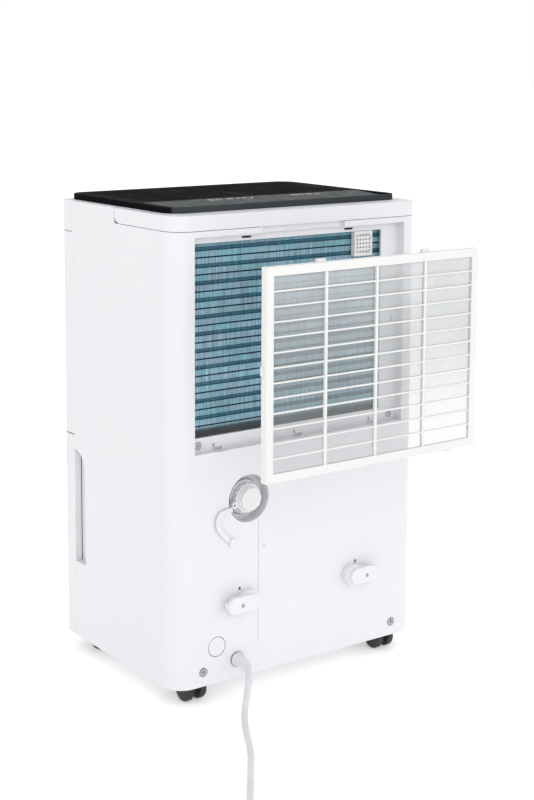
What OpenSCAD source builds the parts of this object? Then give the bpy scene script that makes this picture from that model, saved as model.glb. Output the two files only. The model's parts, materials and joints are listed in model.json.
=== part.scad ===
// Portable room dehumidifier, seen with its air filter pulled out of the back.
// Millimetres. +Z is up, the back (filter, drain, cord) faces +Y and the water tank pulls out of the
// front along -Y. The origin is on the floor under the middle of the casing.

/* [Casing] */
// Width of the casing
body_w = 318; // [312:1:326]
// Depth of the casing
body_d = 235; // [232:1:240]
// Radius of the upright corners
corner_r = 22; // [16:1:26]
// Thickness of the casing walls
wall = 2.5; // [2:0.25:3]
// Height of the casing's lower edge above the floor
foot_gap = 20; // [18:1:22]
// Height of the seam under the carry handle
seam_z = 486; // [485:1:488]
// Height of the white rim round the top
rim_z = 502; // [501:1:504]

/* [Air filter] */
// Width of the filter frame
filter_w = 267; // [262:1:268]
// Height of the filter frame
filter_h = 205; // [200:1:206]
// How far the filter is pulled out of its recess
filter_out = 116; // [60:1:160]
// Columns of openings in the filter
filter_cols = 4; // [3:1:5]
// Rows of openings in the filter
filter_rows = 13; // [10:1:15]

/* [Coils and fan] */
// Number of folds in the evaporator's face
fin_folds = 22; // [18:1:24]
// Number of blades on the fan wheel
blade_count = 28; // [20:1:36]
// Radius of the fan wheel
wheel_r = 78; // [70:1:80]

/* [Casters] */
// Radius of a caster wheel
caster_r = 12.5; // [11:0.5:13]
// Distance of the casters from the middle, across
caster_x = 126; // [110:1:128]
// Distance of the casters from the middle, front to back
caster_y = 88; // [70:1:88]

/* [Mains lead] */
// Diameter of the lead
cord_d = 7; // [6:0.5:8]

/* [Hidden] */
$fn = 48;

rear_y = body_d / 2;
front_y = -body_d / 2;
side_x = body_w / 2;
wrap_y = -83;                       // the front covers wrap round the corners to here
grip_z = [105, 209];                // straight part of the finger grips beside the tank
tank_top_z = 246.3;
panel_z = [247.6, 468.9];
band_z = 469.6;                     // lower edge of the top frame's front band
lean_z = 452;                       // the front leans back above this height
lean_deg = 5;

// Filter recess in the back
recess_x = 135;
recess_z = [262.5, 480];
recess_depth = 9.5;
window_x = [-111, 131];             // opening to the evaporator
window_z = [276.6, 472.8];

// Carry handle
handle_front_y = 4.5;
handle_z = [seam_z + 0.6, rim_z - 0.3];
deck_x = 148;                       // half width of the deck inside the handle
deck_rear_y = 95;
pivot_y = 9;
pivot_z = 498;
pivot_r = 2.2;

// Black slab on top
slab_x = 148;
slab_y = [-113, 95];
slab_z = 508;
strip_y = [29, 88];                 // sloped control strip
strip_tilt = 2;

// Rear fittings
drain_x = 69;
drain_z = 208;
hook_z = 102;
hook_left_x = 72;
hook_right_x = -66;
gland_x = 83.5;
gland_z = 40;
knock_x = 108.4;
knock_z = 58.5;
anchor_x = 90;
anchor_z = 165;
screw_x = 125;

// Tank
bucket_x = 145;
bucket_y = [-80, 16];
bucket_z = [47, 238];
float_y = 6;
float_z = 200;

// Fan
fan_z = 365;

// Lead. The route starts inside the gland and ends where it joins the coil.
route = [[83.5, 110, 40], [83.5, 119, 40], [83.5, 127, 40], [84.6, 134.5, 39.3], [87, 141.5, 37.5],
  [90.5, 148.5, 34.2], [95.3, 155.3, 30.2], [101.1, 161.7, 25.4], [108.4, 169.4, 19.6],
  [115.6, 177.2, 14.1], [122.4, 186.3, 9.1], [128.6, 196.5, 5.5], [134.5, 207.5, 3.8],
  [141.5, 219.5, 3.5], [149.8, 234, 3.5], [159, 248.5, 3.5], [169, 262, 3.5], [179, 276, 3.5],
  [189, 289.5, 3.5], [199, 303, 3.5], [209, 317, 3.5], [219, 330.5, 3.5], [229, 344, 3.5],
  [240, 358, 3.5], [252, 373, 3.5], [265, 390, 3.5]];
coil_c = [230, 415.7];              // middle of the coil
coil_mid_r = 40;                    // middle of the coil's turns
coil_deg = 53.8;                    // direction of the lead as it reaches the coil
coil_layers = 3;
// From the coil to the plug, seen from the middle of the coil
tail = [[-21.5, -29.5, 17.5], [-13.5, -34, 18], [-5, -36, 19], [4, -36.5, 20.5], [12.5, -34.5, 23],
  [20.5, -30.5, 25.5], [27, -24.5, 28], [32, -17, 29.5], [35.5, -9, 30.5], [36.5, 0, 31]];
plug_u = 36.5;                      // the plug lies on top of the coil, beside its middle
plug_z = 31;

module box(x, y, z) {
  translate([x[0], y[0], z[0]]) cube([x[1] - x[0], y[1] - y[0], z[1] - z[0]]);
}

module along_x(r, x, y, z) {
  translate([x[0], y, z]) rotate([0, 90, 0]) cylinder(r = r, h = x[1] - x[0]);
}

module along_y(r, x, y, z) {
  translate([x, y[0], z]) rotate([-90, 0, 0]) cylinder(r = r, h = y[1] - y[0]);
}

module upright(r, x, y, z) {
  translate([x, y, z[0]]) cylinder(r = r, h = z[1] - z[0]);
}

module rounded(w, d, r) {
  square([w - 2 * r, d], center = true);
  square([w, d - 2 * r], center = true);
  for (x = [-1, 1], y = [-1, 1]) translate([x * (w / 2 - r), y * (d / 2 - r)]) circle(r);
}

module casing_plan(inset = 0) {
  rounded(body_w - 2 * inset, body_d - 2 * inset, corner_r - inset);
}

// A wall of the given thickness that follows the casing's outline between two heights
module casing_wall(z, thick = wall) {
  translate([0, 0, z[0]]) linear_extrude(z[1] - z[0]) difference() {
    casing_plan();
    casing_plan(thick);
  }
}

module in_front_of(y) {
  box([-200, 200], [-200, y], [0, 520]);
}

module behind(y) {
  box([-200, 200], [y, 200], [0, 520]);
}

// Draws its children on the left (+X) or, mirrored, on the right
module on_side(s) {
  mirror([s < 0 ? 1 : 0, 0, 0]) children();
}

// What the leaning front leaves out
module lean_cut() {
  translate([0, front_y, lean_z]) rotate([-lean_deg, 0, 0]) box([-200, 200], [-20, 0], [0, 80]);
}

// A round bar between two points, with a radius at each end
module bar(a, b, r1, r2) {
  d = b - a;
  translate(a) rotate([0, acos(d[2] / norm(d)), atan2(d[1], d[0])]) cylinder(r1 = r1, r2 = r2, h = norm(d));
}

// Sweeps a many-sided tube along points; each ring faces along the route
function unit(v) = v / norm(v);
function heading(p, i) = unit(p[min(i + 1, len(p) - 1)] - p[max(i - 1, 0)]);
function side_of(t) = unit(cross(t, abs(t[2]) > 0.9 ? [1, 0, 0] : [0, 0, 1]));
function ring(c, t, w, h, n) = let (s = side_of(t), u = cross(s, t))
  [for (k = [0:n - 1]) c + s * w * cos(360 * (k + 0.5) / n) + u * h * sin(360 * (k + 0.5) / n)];
function tube_faces(m, n) = concat([[for (k = [n - 1:-1:0]) k]],
  [for (i = [0:m - 2], k = [0:n - 1]) let (a = i * n, b = a + n, l = (k + 1) % n)
    each [[a + k, b + l, b + k], [a + k, a + l, b + l]]],
  [[for (k = [0:n - 1]) (m - 1) * n + k]]);
module sweep(p, w, h, n) {
  m = len(p);
  polyhedron(
    points = [for (i = [0:m - 1]) each ring(p[i], heading(p, i), w, h, n)],
    faces = tube_faces(m, n));
}

// ---- casing ----------------------------------------------------------------------------------

module rear_housing() {
  hook_boss = [rear_y - 7, rear_y - 1];
  color("white") difference() {
    union() {
      difference() {
        casing_wall([foot_gap, seam_z]);
        in_front_of(wrap_y);
      }
      intersection() {
        casing_wall([seam_z - 1, rim_z]);
        box([-200, 200], [wrap_y, 3.9], [0, 520]);
      }
      box([-recess_x - wall, recess_x + wall], [rear_y - recess_depth - wall, rear_y - 1],
        [recess_z[0] - wall, recess_z[1] + wall]);
      box([-55, 55], [rear_y - 7.5, rear_y - 1], [478, seam_z]);
      along_y(27.5, drain_x, [rear_y - 16.5, rear_y - 1], drain_z);
      for (x = [-screw_x, screw_x]) along_y(6, x, [rear_y - 18, rear_y - recess_depth - 1], 269);
      for (x = [hook_left_x, hook_right_x]) along_y(9, x, hook_boss, hook_z);
      for (s = [-1, 1]) on_side(s) {
        box([side_x - 11, side_x - 1], [wrap_y, wrap_y + 24.5], [grip_z[0] - 2.5, grip_z[1] + 24.5]);
        upright(4.5, screw_x, rear_y - 6, [foot_gap + 5, 60]);
      }
    }
    box([-recess_x, recess_x], [rear_y - recess_depth, rear_y + 1], recess_z);
    box(window_x, [rear_y - 20, rear_y], window_z);
    box([-53, 53], [rear_y - 5, rear_y + 1], [479, seam_z + 1]);
    for (x = [-66, 66]) box([x - 6, x + 6], [rear_y - 20, rear_y], [475, 477.2]);
    for (x = [-101, 0, 102]) {
      box([x - 6, x + 6], [rear_y - 20, rear_y], [262, 265]);
      box([x + 3, x + 6], [rear_y - 20, rear_y], [264, 269]);
    }
    box([-127.2, -124.8], [rear_y - 20, rear_y], [368, 378]);
    for (x = [-screw_x, screw_x]) {
      along_y(1.6, x, [rear_y - 22, rear_y], 269);
      along_y(4.2, x, [rear_y - recess_depth - 2, rear_y], 269);
    }
    along_y(25, drain_x, [rear_y - 14, rear_y + 1], drain_z);
    along_y(19.5, drain_x, [rear_y - 20, rear_y], drain_z);
    for (x = [hook_left_x, hook_right_x]) along_y(5.05, x, [rear_y - 10, rear_y + 1], hook_z);
    for (x = [hook_left_x + 8, hook_right_x - 7])
      box([x - 1.5, x + 1.5], [rear_y - 5, rear_y + 1], [hook_z + 10.8, hook_z + 14.2]);
    for (s = [-1, 1]) on_side(s) {
      box([side_x - 8.5, side_x + 1], [wrap_y - 1, wrap_y + 22], grip_z);
      along_x(22, [side_x - 8.5, side_x + 1], wrap_y, grip_z[1]);
      along_y(5, screw_x, [rear_y - 2, rear_y + 1], 35);
      along_y(1.6, screw_x, [rear_y - 16, rear_y + 1], 35);
    }
    along_y(6.05, gland_x, [rear_y - 5, rear_y + 1], gland_z);
    along_y(10.8, knock_x, [rear_y - 5, rear_y + 1], knock_z);
    along_y(2.05, anchor_x, [rear_y - 5, rear_y + 1], anchor_z);
    along_y(2, 50.4, [rear_y - 1, rear_y + 1], 155);
    box([56.2, 57.4], [rear_y - 0.7, rear_y + 1], [55, 184]);
  }
}

module base_pan() {
  color("white") difference() {
    union() {
      translate([0, 0, foot_gap + 0.5]) linear_extrude(24) difference() {
        casing_plan(wall + 0.4);
        casing_plan(wall + 3.4);
      }
      translate([0, 0, foot_gap + 0.5]) linear_extrude(3) casing_plan(wall + 0.4);
      for (x = [-1, 1], y = [-1, 1]) upright(26, x * caster_x, y * caster_y, [foot_gap + 0.5, 33]);
      for (x = [-1, 1], y = [-1, 1]) upright(9, x * caster_x, y * caster_y, [foot_gap + 0.5, 46]);
      box([-130, 130], [20, 24], [foot_gap + 1, 45]);
      for (a = [90, 210, 330]) upright(6, -80 + 30 * cos(a), 70 + 30 * sin(a), [foot_gap + 1, 46]);
    }
    for (x = [-1, 1], y = [-1, 1]) {
      upright(23, x * caster_x, y * caster_y, [foot_gap - 1, 30.5]);
      upright(4.05, x * caster_x, y * caster_y, [foot_gap - 1, 47]);
    }
    along_y(9, gland_x, [rear_y - 9, rear_y], gland_z);
    for (x = [-screw_x, screw_x]) {
      along_y(1.8, x, [rear_y - 16, rear_y], 35);
      upright(4.9, x, rear_y - 6, [foot_gap + 4.6, 61]);
    }
  }
}

module front_panel() {
  color("white") difference() {
    union() {
      casing_wall(panel_z);
      translate([0, 0, lean_z - 4]) linear_extrude(panel_z[1] - lean_z + 4) difference() {
        casing_plan();
        casing_plan(5);
      }
      for (z = [290, 360, 430]) translate([0, 0, z]) linear_extrude(2) difference() {
        casing_plan(1);
        casing_plan(8);
      }
    }
    behind(wrap_y - 0.3);
    lean_cut();
  }
}

module deck_plan() {
  intersection() {
    casing_plan();
    translate([-200, -200]) square([400, 200 + wrap_y - 0.3]);
  }
  translate([-side_x + wall + 0.3, wrap_y - 1]) square([body_w - 2 * wall - 0.6, 4.9 - wrap_y - 1]);
  translate([0, deck_rear_y / 2 - 22]) rounded(2 * deck_x, deck_rear_y + 44, 12);
}

module top_frame() {
  vent_x = 130;
  color("white") difference() {
    union() {
      translate([0, 0, rim_z - 2.5]) linear_extrude(2.5) deck_plan();
      translate([0, 0, seam_z - 0.1]) linear_extrude(rim_z - seam_z) difference() {
        translate([0, deck_rear_y / 2 - 22]) rounded(2 * deck_x, deck_rear_y + 44, 12);
        translate([0, deck_rear_y / 2 - 22]) rounded(2 * deck_x - 5, deck_rear_y + 39, 10);
      }
      difference() {
        translate([0, 0, band_z]) linear_extrude(rim_z - band_z) difference() {
          casing_plan();
          casing_plan(9);
        }
        behind(wrap_y - 0.3);
      }
      translate([0, 0, seam_z - 2.6]) linear_extrude(2.5) difference() {
        casing_plan(wall + 0.3);
        translate([0, -10]) square([2 * deck_x - 5, 205], center = true);
        translate([-200, -200]) square([400, 200]);
      }
    }
    box([-vent_x, vent_x], [-100, 20], [rim_z - 5, rim_z + 1]);
    box([-55.5, 55.5], [rear_y - recess_depth - 0.3, rear_y], [470, 500]);
    for (s = [-1, 1]) on_side(s) along_x(pivot_r + 0.03, [deck_x - 4, deck_x + 1], pivot_y, pivot_z);
    lean_cut();
  }
}

module slab_plan(inset = 0) {
  translate([0, (slab_y[0] + slab_y[1]) / 2])
    rounded(2 * slab_x - 2 * inset, slab_y[1] - slab_y[0] - 2 * inset, 20 - inset);
}

module strip_cut(deep) {
  translate([0, strip_y[0], slab_z]) rotate([-strip_tilt, 0, 0])
    box([-140, 140], [0, strip_y[1] - strip_y[0]], [-deep, 10]);
}

module top_grille() {
  slot_pitch = 6;
  slot_w = 2.4;
  color([0.04, 0.04, 0.045]) difference() {
    translate([0, 0, rim_z + 0.05]) linear_extrude(slab_z - rim_z - 0.05) slab_plan();
    for (i = [0:19], s = [-1, 1])
      box([s > 0 ? 3 : -129, s > 0 ? 129 : -3], [-98 + i * slot_pitch, -98 + i * slot_pitch + slot_w],
        [rim_z - 1, slab_z + 1]);
    strip_cut(1.2);
  }
}

module control_panel() {
  color([0.02, 0.02, 0.025]) translate([0, strip_y[0], slab_z]) rotate([-strip_tilt, 0, 0])
    box([-139.8, 139.8], [0.2, strip_y[1] - strip_y[0] - 0.2], [-1.15, 0]);
}

module carry_handle() {
  h = handle_z[1] - handle_z[0];
  color("white") difference() {
    union() {
      translate([0, 0, handle_z[0]]) linear_extrude(h) difference() {
        casing_plan();
        translate([0, deck_rear_y / 2 - 22]) rounded(2 * deck_x + 0.8, deck_rear_y + 44.8, 12.4);
        translate([-200, -200]) square([400, 200 + handle_front_y + 10]);
      }
      for (s = [-1, 1]) on_side(s) {
        along_x(10, [deck_x + 0.4, side_x], handle_front_y + 10, handle_z[0] + 10);
        box([deck_x + 0.4, side_x], [handle_front_y, handle_front_y + 12],
          [handle_z[0] + 10, handle_z[1] - 2.5]);
        box([deck_x + 0.4, side_x], [handle_front_y + 2.5, handle_front_y + 12],
          [handle_z[0] + 10, handle_z[1]]);
        along_x(2.5, [deck_x + 0.4, side_x], handle_front_y + 2.5, handle_z[1] - 2.5);
      }
    }
    for (s = [-1, 1]) on_side(s) along_x(pivot_r + 0.05, [deck_x, side_x - 3], pivot_y, pivot_z);
    box([-200, 200], [-20, 60], [handle_z[1], handle_z[1] + 20]);
    box([-90, 90], [deck_rear_y + 5, rear_y - 6], [handle_z[0] - 1, handle_z[0] + 6]);
  }
}

module handle_pins() {
  color("silver") for (s = [-1, 1]) on_side(s)
    along_x(pivot_r, [deck_x - 3.5, side_x - 3.5], pivot_y, pivot_z);
}

// ---- inside ----------------------------------------------------------------------------------

module chassis() {
  color("gainsboro") difference() {
    union() {
      box([-155.5, 155.5], [-80, 100], [248.5, 251]);
      box([-150, 150], [21.5, 24], [46, 249]);
      for (x = [-70, 70]) box([x - 1.5, x + 1.5], [24, 31], [60, 249]);
    }
    upright(8, 100, 8, [240, 260]);
    upright(8, drain_x, 85, [240, 260]);
    upright(9, -138, 63, [240, 260]);
    upright(9, -138, 92, [240, 260]);
  }
}

fin_pitch = (474 - 281) / fin_folds;
tube_z = [for (i = [0:2:fin_folds - 1]) 281 + (i + 1) * fin_pitch];

module coil_block(y, z, fold) {
  folds = fin_folds;
  p = (z[1] - z[0]) / folds;
  front = [for (i = [0:folds - 1]) each [[y[1] - fold, z[0] + i * p], [y[1], z[0] + (i + 0.2) * p],
    [y[1], z[0] + (i + 0.8) * p]]];
  translate([-122, 0, 0]) rotate([90, 0, 90]) linear_extrude(252)
    polygon(concat([[y[0], z[0]]], front, [[y[1] - fold, z[1]], [y[0], z[1]]]));
}

module coil_tubes(y) {
  for (z = tube_z) along_x(3.5, [-128, 136], y, z);
  for (i = [0:len(tube_z) - 2]) let (x = i % 2 == 0 ? 136 : -128) {
    upright(3.5, x, y, [tube_z[i], tube_z[i + 1]]);
    for (z = [tube_z[i], tube_z[i + 1]]) translate([x, y, z]) sphere(r = 4);
  }
}

module evaporator_fins() {
  color([0.35, 0.62, 0.7]) difference() {
    coil_block([84, 102], [281, 474], 2.2);
    for (z = tube_z) along_x(3.55, [-130, 140], 92, z);
  }
}

module evaporator_tubes() {
  color([0.72, 0.45, 0.3]) coil_tubes(92);
}

module condenser_fins() {
  color("silver") difference() {
    coil_block([52, 74], [281, 474], 0.8);
    for (z = tube_z) along_x(3.55, [-130, 140], 63, z);
  }
}

module condenser_tubes() {
  color([0.72, 0.45, 0.3]) coil_tubes(63);
}

module coil_end_plates() {
  color("silver") difference() {
    for (x = [-124.2, 130.2]) box([x, x + 2], [50, 103], [276, 478]);
    for (y = [63, 92], z = tube_z) along_x(3.55, [-130, 140], y, z);
  }
}

module drip_tray() {
  color("white") difference() {
    union() {
      box([-133, 145], [46, 105], [251.1, 268]);
      box([88, 112], [-4, 47], [251.1, 262]);
      upright(6.5, 100, 8, [243, 253]);
    }
    box([-131, 143], [48, 103], [253.5, 270]);
    box([90, 110], [-2, 49], [253.5, 270]);
    for (x = [-screw_x, screw_x]) along_y(6.4, x, [95, 106], 269);
    upright(4.5, 100, 8, [240, 260]);
    upright(6.05, drain_x, 85, [240, 260]);
  }
}

module fan_scroll() {
  in_r = 94;
  color("white") difference() {
    union() {
      along_y(in_r + 2.5, 0, [-2, 46], fan_z);
      box([-in_r - 2.5, 30], [-2, 46], [fan_z, 497]);
    }
    along_y(in_r, 0, [0.5, 43.5], fan_z);
    box([-in_r, 27.5], [0.5, 43.5], [fan_z, 498]);
    along_y(66, 0, [40, 50], fan_z);
    along_y(14, 0, [-5, 2], fan_z);
  }
}

module blower_wheel() {
  color([0.15, 0.15, 0.16]) translate([0, 0, fan_z]) rotate([-90, 0, 0]) difference() {
    union() {
      translate([0, 0, 5]) cylinder(r = wheel_r, h = 2);
      translate([0, 0, 38]) linear_extrude(2.5) difference() {
        circle(wheel_r);
        circle(wheel_r - 9);
      }
      translate([0, 0, 6]) linear_extrude(33) for (i = [0:blade_count - 1])
        rotate(i * 360 / blade_count) translate([wheel_r - 12, 0]) rotate(25) square([12, 1.4]);
      translate([0, 0, 3]) cylinder(r = 12, h = 20);
    }
    translate([0, 0, 1]) cylinder(r = 4.03, h = 24);
  }
}

module fan_motor() {
  color("gray") {
    along_y(40, 0, [-46, -8], fan_z);
    along_y(12, 0, [-8.5, -5.5], fan_z);
    along_y(4, 0, [-6, 22], fan_z);
    for (a = [45, 135, 225, 315]) along_y(5, 44 * cos(a), [-12, -2.1], fan_z + 44 * sin(a));
    for (s = [-1, 1]) translate([0, -12, fan_z]) rotate([0, s * 45, 0]) box([-46, 46], [-2, 1], [-5, 5]);
  }
}

module compressor() {
  color([0.12, 0.12, 0.13]) translate([-80, 70, 0]) {
    translate([0, 0, 64]) rotate_extrude() polygon(concat([[0, 0]],
      [for (a = [0:15:90]) [30 + 8 * sin(a), 8 - 8 * cos(a)]],
      [for (a = [0:10:90]) [20 + 18 * cos(a), 130 + 16 * sin(a)]], [[0, 146]]));
    translate([0, 0, 61.5]) cylinder(r = 34, h = 3);
    for (a = [90, 210, 330]) rotate(a) translate([30, 0, 61.5]) cylinder(r = 7, h = 3);
    translate([0, 0, 209]) cylinder(r = 10, h = 6);
  }
}

module compressor_grommets() {
  color("black") for (a = [90, 210, 330])
    upright(7, -80 + 30 * cos(a), 70 + 30 * sin(a), [46.1, 61.4]);
}

module accumulator() {
  color([0.12, 0.12, 0.13]) upright(16, -20, 70, [80, 190]);
  color([0.12, 0.12, 0.13]) for (z = [78, 190]) upright(9, -20, 70, [z, z + 3]);
}

module pipe_run(p, r) {
  for (i = [0:len(p) - 2]) bar(p[i], p[i + 1], r, r);
  for (q = p) translate(q) sphere(r = r + 0.5);
}

module refrigerant_pipes() {
  color([0.72, 0.45, 0.3]) {
    pipe_run([[-80, 84, 216], [-80, 84, 232], [-138, 84, 232], [-138, 63, 232], [-138, 63, tube_z[0]],
      [-132.5, 63, tube_z[0]]], 3.5);
    pipe_run([[-20, 70, 197.2], [-20, 70, 240], [-138, 92, 240], [-138, 92, tube_z[0]],
      [-132.5, 92, tube_z[0]]], 3.5);
    pipe_run([[-20, 70, 73.8], [-20, 70, 66], [-36, 70, 66]], 3.5);
  }
}

module control_board() {
  color("darkgreen") {
    box([-70, 70], [-92, -90.4], [310, 450]);
    for (x = [-45, -10, 30]) box([x, x + 16], [-90.5, -78], [330, 352]);
    box([-50, 40], [-90.5, -84], [400, 424]);
  }
}

module run_capacitor() {
  color("silver") upright(17, 105, -50, [251.2, 320]);
}

module humidity_sensor_cover() {
  x = [-98, -74];
  z = [446, 472.5];
  color("white") difference() {
    box(x, [102.6, 108.6], z);
    box([x[0] + 1.5, x[1] - 1.5], [102, 107.3], [z[0] + 1.5, z[1] - 1.5]);
    for (i = [0:4], j = [0:4])
      along_y(0.95, x[0] + 4 + i * 4, [106, 110], z[0] + 4.8 + j * 4.2);
  }
}

module humidity_sensor() {
  color("darkgreen") box([-94, -78], [103, 104.5], [451, 469]);
}

module float_switch() {
  color("dimgray") {
    box([104, 124], [-14, -2], [240.5, 248.4]);
    along_y(1.5, 114, [-16, -13], 242);
  }
}

// ---- rear fittings ---------------------------------------------------------------------------

module drain_socket() {
  color("white") difference() {
    union() {
      along_y(12, drain_x, [76, rear_y - 6], drain_z);
      along_y(21, drain_x, [rear_y - 19, rear_y - 16.6], drain_z);
      upright(6, drain_x, 85, [drain_z, 256]);
    }
    along_y(9, drain_x, [78, rear_y], drain_z);
    upright(4, drain_x, 85, [drain_z, 258]);
  }
}

module drain_cap() {
  color("white") difference() {
    union() {
      along_y(15, drain_x, [109.5, rear_y - 1], drain_z);
      along_y(13.2, drain_x, [rear_y - 1.1, rear_y + 1.5], drain_z);
      translate([drain_x, rear_y + 1.4, drain_z]) rotate([-90, 0, 0]) cylinder(r = 12.4, h = 3.4, $fn = 10);
      along_y(3.6, drain_x + 16.4, [rear_y - 5, rear_y - 0.5], drain_z - 5);
      for (a = [0:30:330])
        along_y(1.1, drain_x + 14.8 * cos(a), [110.5, rear_y - 2], drain_z + 14.8 * sin(a));
    }
    along_y(12.06, drain_x, [109, rear_y - 5.5], drain_z);
    along_y(1.4, drain_x + 17, [rear_y - 6, rear_y], drain_z - 5);
  }
}

tether_path = [[drain_x + 16, 108, drain_z - 6], [drain_x + 19.5, 110, drain_z - 7],
  [drain_x + 21.2, 114, drain_z - 7.5], [drain_x + 21.9, 118.8, drain_z - 8],
  [drain_x + 28, 119.6, drain_z - 8.5], [104.5, 119.4, 198], [107.7, 119.4, 194], [109, 119.4, 189],
  [108, 119.4, 184], [105.5, 119.4, 179.5], [102, 119.4, 175], [98, 119.4, 171], [94.5, 119.4, 168]];

module tether_ribbon() {
  m = len(tether_path);
  w = 2.4;
  t = 0.8;
  function out(i) = i < 4 ? unit([-0.75, 1, 0]) : [0, 1, 0];
  function across(i) = unit(cross(heading(tether_path, i), out(i)));
  polyhedron(
    points = [for (i = [0:m - 1]) let (c = tether_path[i], a = across(i) * w, o = out(i) * t)
      each [c + a + o, c - a + o, c - a - o, c + a - o]],
    faces = tube_faces(m, 4));
}

module drain_tether() {
  color("whitesmoke") {
    difference() {
      along_y(17.5, drain_x, [106.6, 109.1], drain_z);
      along_y(12.2, drain_x, [106, 110], drain_z);
    }
    tether_ribbon();
  }
}

module tether_anchor() {
  color("white") {
    along_y(4.6, anchor_x, [rear_y + 0.02, rear_y + 3.2], anchor_z);
    along_y(2, anchor_x, [rear_y - 3.5, rear_y + 0.1], anchor_z);
  }
}

module cord_hook(x, s) {
  color("white") difference() {
    union() {
      along_y(11.5, x, [rear_y + 0.3, rear_y + 9], hook_z);
      along_y(8.5, x, [rear_y + 8, rear_y + 13.5], hook_z);
      translate([x, rear_y + 9, hook_z]) mirror([s < 0 ? 1 : 0, 0, 0]) {
        box([0, 22], [0, 4.5], [-8.5, 8.5]);
        along_y(8.5, 22, [0, 4.5], 0);
        box([24, 30.5], [-3, 4.5], [-3.5, 3.5]);
      }
      along_y(5, x, [rear_y - 6.5, rear_y + 1], hook_z);
    }
    along_y(2.2, x + s * 13, [rear_y + 8.8, rear_y + 14], hook_z - 1);
  }
}

module cord_hook_left() {
  cord_hook(hook_left_x, 1);
}

module cord_hook_right() {
  cord_hook(hook_right_x, -1);
}

module cord_knockout() {
  color("white") {
    along_y(9.9, knock_x, [rear_y - 3, rear_y - 0.2], knock_z);
    along_y(11.6, knock_x, [rear_y - 4.5, rear_y - 2.6], knock_z);
  }
}

module cord_gland() {
  boot = [for (i = [1:4]) route[i]];
  boot_r = [5.8, 5.3, 4.75, 4.2];
  bore_r = cord_d / 2 + 0.05;
  boot_end = boot[3] + 3 * unit(boot[3] - boot[2]);
  color("whitesmoke") difference() {
    union() {
      along_y(6, gland_x, [rear_y - 8, rear_y + 1.5], gland_z);
      along_y(8, gland_x, [rear_y + 0.05, rear_y + 1.6], gland_z);
      along_y(8, gland_x, [rear_y - 8, rear_y - 2.7], gland_z);
      for (i = [0:2]) bar(boot[i], boot[i + 1], boot_r[i], boot_r[i + 1]);
      for (i = [1:2]) translate(boot[i]) sphere(r = boot_r[i]);
    }
    along_y(bore_r, gland_x, [rear_y - 9, boot[1][1]], gland_z);
    bar(boot[1], boot[2], bore_r, bore_r);
    bar(boot[2], boot_end, bore_r, bore_r);
    for (i = [1:2]) translate(boot[i]) sphere(r = bore_r);
  }
}

module power_cord() {
  color("whitesmoke") sweep(route, cord_d / 2, cord_d / 2, 10);
}

module at_coil() {
  translate([coil_c[0], coil_c[1], 0]) rotate(coil_deg) children();
}

module cord_coil() {
  color("whitesmoke") translate([coil_c[0], coil_c[1], 0]) rotate_extrude()
    translate([coil_mid_r - cord_d, 0]) square([2 * cord_d, coil_layers * cord_d]);
}

module cord_tail() {
  color("whitesmoke") at_coil() sweep(tail, cord_d / 2, cord_d / 2, 10);
}

module coil_tie() {
  t = 1;
  in_x = [-coil_mid_r - cord_d, -coil_mid_r + cord_d];
  color("dimgray") at_coil() difference() {
    box([in_x[0] - t, in_x[1] + t], [-5, 5], [0, coil_layers * cord_d + t]);
    box(in_x, [-6, 6], [t, coil_layers * cord_d]);
  }
}

module power_plug() {
  color("whitesmoke") at_coil() translate([plug_u, 0, plug_z]) {
    rotate([-90, 0, 0]) cylinder(r1 = 4.6, r2 = 6.5, h = 10);
    box([-11, 11], [9, 40], [-9.9, 9.9]);
    box([-9.5, 9.5], [39, 44], [-9, 9]);
  }
}

module plug_pins() {
  color("gold") at_coil() translate([plug_u, 44, plug_z]) {
    for (x = [-6.3, 6.3]) box([x - 0.8, x + 0.8], [0, 17], [-2, 4.3]);
    along_y(2.4, 0, [0, 19], -5);
  }
}

module screw_head(x, y, z, r) {
  difference() {
    union() {
      along_y(r, x, [y, y + 1.8], z);
      along_y(1.5, x, [y - 10, y + 0.1], z);
    }
    box([x - r * 0.6, x + r * 0.6], [y + 0.8, y + 3], [z - 0.5, z + 0.5]);
    box([x - 0.5, x + 0.5], [y + 0.8, y + 3], [z - r * 0.6, z + r * 0.6]);
  }
}

module housing_screws() {
  color("silver") for (x = [-screw_x, screw_x]) screw_head(x, rear_y - 1.9, 35, 4);
}

module recess_screws() {
  color("silver") for (x = [-screw_x, screw_x]) screw_head(x, rear_y - recess_depth - 1.95, 269, 3.6);
}

// ---- air filter ------------------------------------------------------------------------------

filter_lift = -10;                  // the pulled-out filter also hangs lower than its seat
filter_c = [0, rear_y + filter_out, 371.6 + filter_lift];
border = 8.6;                       // width of the filter's outer frame
filter_back = 7;                    // depth of the filter's rim behind its face

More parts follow.
